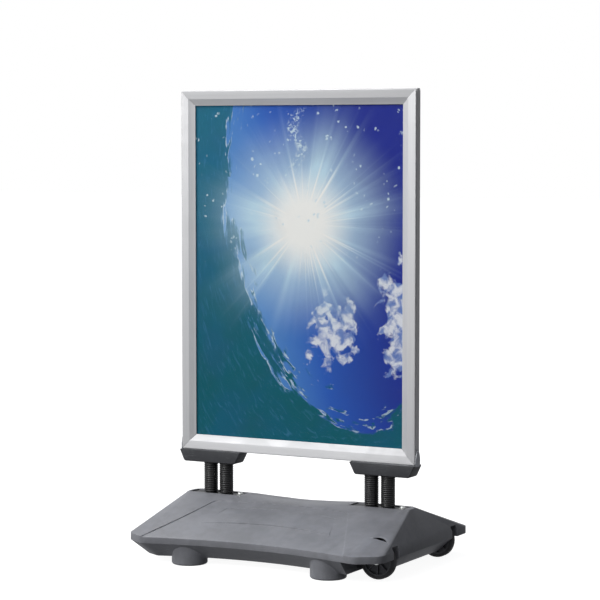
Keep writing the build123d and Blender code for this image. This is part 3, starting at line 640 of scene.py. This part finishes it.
@dataclass(frozen=True)
class TreadRubber:
    """Matt rubber with a scuffed, dusty running face."""

    name: str
    colour: Colour = paint(52, 52, 54)
    worn: Colour = paint(92, 91, 89)

    def build(self) -> bpy.types.Material:
        """Makes the material."""
        material, graph, shader = start_material(self.name, Specular_IOR_Level=0.3)
        place = graph.object_place()
        grain = graph.use(mould_grain, {"Place": place, "Scale": 1500.0})
        worn = graph.use(edge_wear, {"Place": place, "Reach": 0.003, "Amount": 0.6})
        patches = graph.span(graph.noise(place, 85.0, 6.0, 0.8), 0.44, 0.66, 0.0, 0.4)
        colour = graph.mix(graph.math("MAXIMUM", worn["Mask"], patches), self.colour, self.worn)
        graph.feed(shader.inputs["Base Color"], colour)
        graph.feed(shader.inputs["Roughness"], graph.span(patches, 0.0, 0.4, 0.62, 0.86))
        bump(graph, shader, grain["Height"], 0.0001)
        return material


@dataclass(frozen=True)
class ClearFilm:
    """Clear anti-glare sheet over a poster, with faint wipe marks."""

    name: str

    def build(self) -> bpy.types.Material:
        """Makes the material."""
        material, graph, shader = start_material(self.name, IOR=1.49)
        place = graph.object_place()
        wipes = graph.span(graph.noise(place, 6.0, 7.0, 1.4), 0.42, 0.70)
        graph.feed(shader.inputs["Base Color"], paint(110, 114, 118))
        graph.feed(shader.inputs["Alpha"], graph.span(wipes, 0.0, 1.0, 0.012, 0.026))
        graph.feed(shader.inputs["Roughness"], graph.span(wipes, 0.0, 1.0, 0.16, 0.28))
        bump(graph, shader, graph.noise(place, 900.0, 2.0), 0.000008)
        return material


@dataclass(frozen=True)
class PrintedPoster:
    """Satin paper printed with the sea picture.

    Attributes:
        name: The material's name.
        middle: The poster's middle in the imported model's frame.
        width: The poster's width.
        facing: 1 where the poster is read from -Y and -1 where it is read from +Y.
    """

    name: str
    middle: Vector
    width: float
    facing: float

    def build(self) -> bpy.types.Material:
        """Makes the material."""
        material, graph, shader = start_material(self.name, Specular_IOR_Level=0.12)
        place = graph.vector("SUBTRACT", graph.object_place(), tuple(self.middle))
        scaled = graph.vector("MULTIPLY", place, (self.facing / self.width, 0.0, 1.0 / self.width))
        picture = graph.use(sea_picture, {"Place": scaled})["Color"]
        dots = graph.span(graph.cells(place, 1300.0), 0.0, 0.6, 0.0, 0.05)
        graph.feed(shader.inputs["Base Color"], graph.mix(dots, picture, paint(20, 40, 90)))
        waves = graph.noise(place, 5.0, 2.0, 0.2)
        graph.feed(shader.inputs["Roughness"], graph.span(waves, 0.3, 0.7, 0.34, 0.44))
        fibre = graph.noise(place, 1600.0, 3.0)
        height = graph.math("ADD", graph.math("MULTIPLY", waves, 40.0), fibre)
        bump(graph, shader, height, 0.00001)
        return material


ALONG_X = (0.012, 1.0, 1.0)
ALONG_Z = (1.0, 1.0, 0.012)


class Finish(Enum):
    """Every finish on the sign except the two posters."""

    BASE = MouldedPlastic(
        "base_plastic",
        paint(125, 126, 131),
        paint(152, 153, 158),
        roughness=0.46,
        wear_reach=0.006,
        dust=0.035,
    )
    BUNG = MouldedPlastic("bung_plastic", paint(36, 37, 40), paint(84, 85, 88), roughness=0.5, grain=1600.0)
    BRACKET = MouldedPlastic(
        "bracket_plastic", paint(56, 57, 60), paint(104, 105, 108), roughness=0.42, grain=1500.0, dust=0.05
    )
    WHEEL = MouldedPlastic("wheel_plastic", paint(78, 79, 83), paint(118, 118, 120), roughness=0.45)
    BACKING = MouldedPlastic("backing_plastic", paint(176, 178, 180), paint(210, 210, 210), dust=0.1)
    FRAME_X = DrawnMetal(
        "frame_aluminium_x",
        paint(206, 206, 207),
        paint(226, 226, 227),
        ALONG_X,
        metallic=0.32,
        roughness=0.55,
    )
    FRAME_Z = DrawnMetal(
        "frame_aluminium_z",
        paint(206, 206, 207),
        paint(226, 226, 227),
        ALONG_Z,
        metallic=0.32,
        roughness=0.55,
    )
    BRACKET_STEEL = DrawnMetal(
        "bracket_steel", paint(138, 140, 144), paint(190, 190, 192), ALONG_Z, roughness=0.42, wear=0.5
    )
    ZINC = DrawnMetal("zinc_steel", paint(206, 208, 206), paint(236, 236, 232), roughness=0.36, mottle=0.12)
    BRASS = DrawnMetal("insert_brass", paint(198, 164, 92), paint(232, 206, 140), roughness=0.3)
    SPRING = Enamel("spring_steel", paint(14, 14, 15), paint(80, 79, 78), dust=0.05)
    FOOT_PLATE = Enamel("foot_plate_steel", paint(34, 35, 37), paint(120, 118, 116), roughness=0.45)
    RUBBER = TreadRubber("tyre_rubber")
    FILM = ClearFilm("clear_sheet")


class Paintbox:
    """Keeps one built material for each finish."""

    def __init__(self) -> None:
        """Starts with nothing built."""
        self.built: dict[str, bpy.types.Material] = {}

    def get(self, finish: Finish) -> bpy.types.Material:
        """Returns a finish's material, and builds it if it isn't there yet."""
        if finish.name not in self.built:
            self.built[finish.name] = finish.value.build()
        return self.built[finish.name]

    def dress(self, piece: bpy.types.Object, finish: Finish) -> None:
        """Gives a piece one finish all over."""
        cover(piece, self.get(finish))


def cover(piece: bpy.types.Object, material: bpy.types.Material) -> None:
    """Puts one material on a piece in place of what it has."""
    if piece.material_slots:
        piece.material_slots[0].material = material
    else:
        piece.data.materials.append(material)


# ---------------------------------------------------------------- modelling helpers


def pick(piece: bpy.types.Object) -> None:
    """Makes one object the only selected one and the active one."""
    bpy.ops.object.select_all(action="DESELECT")
    piece.select_set(True)
    bpy.context.view_layer.objects.active = piece


def apply_modifier(piece: bpy.types.Object, kind: str, **settings: object) -> None:
    """Adds a modifier with these settings and applies it."""
    pick(piece)
    modifier = piece.modifiers.new(kind.lower(), kind)
    for name, value in settings.items():
        setattr(modifier, name, value)
    bpy.ops.object.modifier_apply(modifier=modifier.name)


def settle(piece: bpy.types.Object) -> None:
    """Moves an object's place and turn into its mesh, so that the object itself is at the origin."""
    pick(piece)
    bpy.ops.object.transform_apply(location=True, rotation=True, scale=True)


@dataclass(frozen=True)
class Softened:
    """A CAD node whose moulded or rolled edges are rounded in a copy that stands for it."""

    node: str
    piece: str
    body: str
    slot: str
    radius: float
    segments: int = 2
    sharp: float = 28.0

    def build(self) -> bpy.types.Object:
        """Copies the node, merges its faces, rounds its edges and puts it in the node's place.

        Returns:
            The new piece.
        """
        pick(frame["nodes"][self.node])
        bpy.ops.object.duplicate()
        piece = bpy.context.active_object
        bpy.ops.object.parent_clear(type="CLEAR_KEEP_TRANSFORM")
        piece.name = self.piece
        del piece["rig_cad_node"]
        bpy.ops.mesh.customdata_custom_splitnormals_clear()
        bpy.ops.object.mode_set(mode="EDIT")
        bpy.ops.mesh.select_all(action="SELECT")
        bpy.ops.mesh.remove_doubles(threshold=0.000004)
        bpy.ops.mesh.dissolve_limited(angle_limit=math.radians(0.6))
        bpy.ops.object.mode_set(mode="OBJECT")
        apply_modifier(
            piece,
            "BEVEL",
            width=self.radius,
            segments=self.segments,
            limit_method="ANGLE",
            angle_limit=math.radians(self.sharp),
            miter_outer="MITER_ARC",
            use_clamp_overlap=True,
        )
        pick(piece)
        bpy.ops.object.shade_smooth_by_angle(angle=math.radians(34.0))
        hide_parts(self.node)
        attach(piece, self.body)
        log.info("%s stands for %s with %d faces", self.piece, self.node, len(piece.data.polygons))
        return piece


# ---------------------------------------------------------------- sub-assemblies


@dataclass
class Assembly:
    """A part of the sign that builds its own pieces and dresses them, from a shared paintbox."""

    paints: Paintbox

    def dress_nodes(self, nodes: Iterable[str], finish: Finish) -> None:
        """Gives CAD nodes that stay as they are one finish."""
        for node in nodes:
            self.paints.dress(frame["nodes"][node], finish)
            log.info("%s keeps its shape in %s", node, finish.value.name)

    def soften(self, softened: Softened, finish: Finish) -> None:
        """Builds a softened copy of a CAD node and dresses it."""
        self.paints.dress(softened.build(), finish)

    def build(self) -> None:
        """Builds and dresses every piece."""
        raise NotImplementedError


@dataclass
class Base(Assembly):
    """The hollow base with its bung, foot plates, bolts, washers and inserts."""

    edge_radius: float = 0.0016

    def build(self) -> None:
        """Rounds the moulding's edges and dresses what is on it."""
        shell = Softened("base_tank", "base_shell", "base", "base_plastic", self.edge_radius, segments=3)
        self.soften(shell, Finish.BASE)
        self.dress_nodes(["filler_bung"], Finish.BUNG)
        self.dress_nodes(["foot_plate_left", "foot_plate_right"], Finish.FOOT_PLATE)
        self.dress_nodes(["plate_bolts", "plate_washers"], Finish.ZINC)
        self.dress_nodes(["threaded_inserts"], Finish.BRASS)


@dataclass
class Wheels(Assembly):
    """Two wheels, each a ribbed disc, a tyre and an axle."""

    def build(self) -> None:
        """Dresses both wheels."""
        for end in ("front", "rear"):
            self.dress_nodes([f"wheel_hub_{end}"], Finish.WHEEL)
            self.dress_nodes([f"tyre_{end}"], Finish.RUBBER)
            self.dress_nodes([f"axle_{end}"], Finish.ZINC)


@dataclass
class Springs(Assembly):
    """Four close-coiled springs, and the plugs and screws that hold them."""

    names: tuple[str, ...] = ("left_outer", "left_inner", "right_inner", "right_outer")
    wire: float = 0.0046
    wire_sides: int = 12
    steps_per_turn: int = 36

    def coil(self, name: str) -> bpy.types.Object:
        """Winds one spring.

        Args:
            name: Which spring, as in its CAD node's name.

        Returns:
            The finished spring.
        """
        low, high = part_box(f"spring_{name}")
        middle_x = (low.x + high.x) / 2
        middle_y = (low.y + high.y) / 2
        winding_radius = (high.x - low.x) / 2 - self.wire / 2
        rise = high.z - low.z - self.wire
        turns = int(rise / self.wire)
        bpy.ops.object.select_all(action="DESELECT")
        bpy.ops.mesh.primitive_circle_add(
            vertices=self.wire_sides,
            radius=self.wire / 2,
            fill_type="NOTHING",
            location=(winding_radius, 0.0, 0.0),
            rotation=(math.pi / 2, 0.0, 0.0),
        )
        spring = bpy.context.active_object
        spring.name = f"coil_{name}"
        settle(spring)
        apply_modifier(
            spring,
            "SCREW",
            axis="Z",
            angle=math.tau,
            screw_offset=rise / turns,
            iterations=turns,
            steps=self.steps_per_turn,
            render_steps=self.steps_per_turn,
            use_smooth_shade=True,
        )
        spring.location = (middle_x, middle_y, low.z + self.wire / 2)
        settle(spring)
        bpy.ops.object.mode_set(mode="EDIT")
        bpy.ops.mesh.select_all(action="DESELECT")
        bpy.ops.mesh.select_mode(type="EDGE")
        bpy.ops.mesh.select_non_manifold()
        bpy.ops.mesh.edge_face_add()
        bpy.ops.mesh.select_all(action="SELECT")
        bpy.ops.mesh.normals_make_consistent(inside=False)
        bpy.ops.object.mode_set(mode="OBJECT")
        bpy.ops.object.shade_smooth_by_angle(angle=math.radians(40.0))
        return spring

    def build(self) -> None:
        """Winds and dresses the springs."""
        for name in self.names:
            spring = self.coil(name)
            self.paints.dress(spring, Finish.SPRING)
            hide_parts(f"spring_{name}")
            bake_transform(spring)
            log.info("%s wound with %d faces", spring.name, len(spring.data.polygons))
        self.dress_nodes(["lower_spring_plugs", "upper_spring_plugs"], Finish.FOOT_PLATE)
        self.dress_nodes(["lower_plug_screws", "upper_plug_screws"], Finish.ZINC)


@dataclass
class Brackets(Assembly):
    """The covers, bent plates and screws between the springs and the frame."""

    cover_radius: float = 0.0014
    plate_radius: float = 0.0004

    def build(self) -> None:
        """Rounds the covers' and plates' edges and dresses them."""
        for side in ("left", "right"):
            boat = Softened(
                f"bracket_cover_{side}", f"boat_cover_{side}", "sign", "bracket_plastic", self.cover_radius
            )
            self.soften(boat, Finish.BRACKET)
            tab = Softened(
                f"bracket_plate_{side}", f"side_tab_{side}", "sign", "bracket_steel", self.plate_radius
            )
            self.soften(tab, Finish.BRACKET_STEEL)
        self.dress_nodes(["rail_screws"], Finish.ZINC)


@dataclass
class PosterFrame(Assembly):
    """The snap-open frame: core rails, hinged profiles, corner keys and snap leaves."""

    edge_radius: float = 0.0004
    sides: tuple[tuple[str, Finish], ...] = (
        ("bottom", Finish.FRAME_X),
        ("top", Finish.FRAME_X),
        ("left", Finish.FRAME_Z),
        ("right", Finish.FRAME_Z),
    )

    def build(self) -> None:
        """Rounds the profiles' edges and dresses the frame."""
        for side, finish in self.sides:
            self.dress_nodes([f"rail_{side}"], finish)
            for face in ("front", "rear"):
                profile = Softened(
                    f"{face}_clip_{side}",
                    f"{face}_profile_{side}",
                    f"{face}_clip_{side}",
                    "frame_aluminium",
                    self.edge_radius,
                )
                self.soften(profile, finish)
        self.dress_nodes(["corner_keys", "front_snap_springs", "rear_snap_springs"], Finish.ZINC)


@dataclass
class Posters(Assembly):
    """The backing panel, and a poster under a clear sheet on each face."""

    facings: tuple[tuple[str, float], ...] = (("front", 1.0), ("rear", -1.0))
    paper: float = 0.00012
    cockle: float = 0.00008
    cockle_size: float = 0.16
    cells_across: int = 44

    def printed_sheet(self, face: str) -> bpy.types.Object:
        """Cuts one sheet of paper with a slight cockle, clear of the sheets on both its sides.

        Args:
            face: front or rear.

        Returns:
            The sheet.
        """
        low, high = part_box(f"{face}_poster")
        middle = (low + high) / 2
        width, height = high.x - low.x, high.z - low.z
        cells_up = round(self.cells_across * height / width)
        bpy.ops.object.select_all(action="DESELECT")
        bpy.ops.mesh.primitive_grid_add(
            x_subdivisions=self.cells_across,
            y_subdivisions=cells_up,
            size=1.0,
            rotation=(math.pi / 2, 0.0, 0.0),
        )
        sheet = bpy.context.active_object
        sheet.name = f"printed_sheet_{face}"
        sheet.scale = (width, height, 1.0)
        settle(sheet)
        texture = bpy.data.textures.new(f"cockle_{face}", "CLOUDS")
        texture.noise_scale = self.cockle_size
        apply_modifier(
            sheet, "DISPLACE", texture=texture, texture_coords="LOCAL", strength=self.cockle, mid_level=0.5
        )
        apply_modifier(sheet, "SOLIDIFY", thickness=self.paper, offset=0.0)
        sheet.location = middle
        settle(sheet)
        bpy.ops.object.shade_smooth_by_angle(angle=math.radians(30.0))
        return sheet

    def build(self) -> None:
        """Prints both posters and dresses the sheets."""
        self.dress_nodes(["backing_panel"], Finish.BACKING)
        for face, facing in self.facings:
            low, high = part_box(f"{face}_poster")
            printed = PrintedPoster(f"poster_{face}", (low + high) / 2, high.x - low.x, facing)
            sheet = self.printed_sheet(face)
            cover(sheet, printed.build())
            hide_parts(f"{face}_poster")
            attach(sheet, "sign")
            log.info("%s is printed", sheet.name)
            self.dress_nodes([f"{face}_cover_sheet"], Finish.FILM)


# ---------------------------------------------------------------- studio


@dataclass(frozen=True)
class SoftLight:
    """A square area light."""

    name: str
    place: tuple[float, float, float]
    aim: tuple[float, float, float]
    side: float
    watts: float

    def build(self) -> None:
        """Adds the light."""
        bpy.ops.object.light_add(type="AREA", location=self.place)
        light = bpy.context.active_object
        light.name = self.name
        light.data.size = self.side
        light.data.energy = self.watts
        light.rotation_euler = (Vector(self.aim) - Vector(self.place)).to_track_quat("-Z", "Y").to_euler()


@dataclass(frozen=True)
class Camera:
    """The camera, placed by its bearing round the point it looks at."""

    aim: tuple[float, float, float] = (0.0014, 0.0, 0.6335)
    azimuth: float = 28.60
    elevation: float = 4.12
    distance: float = 5.5032
    lens: float = 135.36
    sensor: float = 36.0

    def build(self) -> None:
        """Adds the camera and makes it the scene's."""
        azimuth, elevation = math.radians(self.azimuth), math.radians(self.elevation)
        level = math.cos(elevation)
        back = Vector((math.sin(azimuth) * level, -math.cos(azimuth) * level, math.sin(elevation)))
        place = Vector(self.aim) + back * self.distance
        bpy.ops.object.camera_add(location=place)
        camera = bpy.context.active_object
        camera.rotation_euler = (-back).to_track_quat("-Z", "Y").to_euler()
        camera.data.lens = self.lens
        camera.data.sensor_width = self.sensor
        bpy.context.scene.camera = camera


@dataclass(frozen=True)
class Sky:
    """A background that brightens towards one direction.

    The shade runs from dark to bright between two values of the scaled cosine of the angle to that
    direction, which are the reach.
    """

    towards: tuple[float, float, float]
    reach: tuple[float, float]
    dark: Colour
    bright: Colour
    strength: float

    def build(self, graph: Graph, heading: Socket) -> Socket:
        """Adds the background to the world's graph and gives its shader.

        Args:
            graph: The world's graph.
            heading: The direction of a ray.

        Returns:
            The background's shader.
        """
        cosine = graph.vector("DOT_PRODUCT", heading, self.towards, output="Value")
        shade = graph.mix(graph.span(cosine, *self.reach), self.dark, self.bright)
        return graph.add("ShaderNodeBackground", {"Color": shade, "Strength": self.strength}).outputs[0]


@dataclass(frozen=True)
class Studio:
    """Plain pale floor, pale surroundings and soft lights."""

    floor_side: float = 60.0
    floor_glow: float = 0.97
    floor_shades: tuple[Colour, Colour] = (paint(150, 150, 150), paint(154, 154, 154))
    floor_light: Colour = paint(250, 250, 250)
    # What lights the sign from all round, and what its glossy faces mirror.
    lighting: Sky = Sky((-0.55, -0.35, 0.75), (-0.45, 0.9), paint(58, 59, 62), paint(236, 239, 244), 0.46)
    gloss: Sky = Sky((-0.50, -0.79, 0.35), (-0.95, 0.45), paint(166, 167, 170), paint(236, 237, 240), 1.0)
    lights: tuple[SoftLight, ...] = (
        SoftLight("key_light", (-2.4, -2.0, 4.0), (0.0, 0.0, 0.3), 1.8, 104.0),
        SoftLight("top_light", (-1.5, 0.9, 4.2), (0.0, 0.0, 0.2), 1.8, 66.0),
        SoftLight("front_light", (-1.0, -4.5, 3.0), (0.0, 0.0, 0.7), 2.4, 112.0),
    )

    def floor(self) -> None:
        """Lays the floor just under the feet."""
        bpy.ops.mesh.primitive_plane_add(size=self.floor_side, location=(0.0, 0.0, 0.0))
        floor = bpy.context.active_object
        floor.name = "studio_floor"
        floor.visible_diffuse = False
        floor.visible_glossy = False
        material, graph, shader = start_material(
            "pale_floor", Roughness=0.9, Emission_Strength=self.floor_glow
        )
        patches = graph.span(graph.noise(graph.object_place(), 1.5, 3.0), 0.3, 0.7)
        graph.feed(shader.inputs["Base Color"], graph.mix(patches, *self.floor_shades))
        graph.feed(shader.inputs["Emission Color"], self.floor_light)
        cover(floor, material)

    def surroundings(self) -> None:
        """Makes the world white where it is seen, and a soft gradient where it lights the sign."""
        world = bpy.data.worlds.new("studio_world")
        bpy.context.scene.world = world
        world.use_nodes = True
        graph = Graph(world.node_tree)
        output = world.node_tree.nodes["World Output"]
        heading = graph.add("ShaderNodeTexCoord").outputs["Generated"]
        path = graph.add("ShaderNodeLightPath").outputs
        lighting = self.lighting.build(graph, heading)
        gloss = self.gloss.build(graph, heading)
        white = {"Color": (1.0, 1.0, 1.0, 1.0), "Strength": 1.0}
        seen = graph.add("ShaderNodeBackground", white).outputs[0]
        choice = {0: path["Is Glossy Ray"], 1: lighting, 2: gloss}
        unseen = graph.add("ShaderNodeMixShader", choice).outputs[0]
        choice = {0: path["Is Camera Ray"], 1: unseen, 2: seen}
        both = graph.add("ShaderNodeMixShader", choice).outputs[0]
        graph.feed(output.inputs["Surface"], both)

    def build(self) -> None:
        """Builds the floor, the surroundings and the lights."""
        bpy.context.scene.view_settings.view_transform = "Standard"
        self.floor()
        self.surroundings()
        for light in self.lights:
            light.build()


# ---------------------------------------------------------------- everything


def main() -> None:
    """Builds the camera, the studio and every sub-assembly in turn."""
    logging.basicConfig(level=logging.INFO, format="%(message)s")
    Camera().build()
    Studio().build()
    paints = Paintbox()
    for assembly in (Base, Wheels, Springs, Brackets, PosterFrame, Posters):
        log.info("building %s", assembly.__name__)
        assembly(paints).build()


if __name__ == "__main__":
    main()
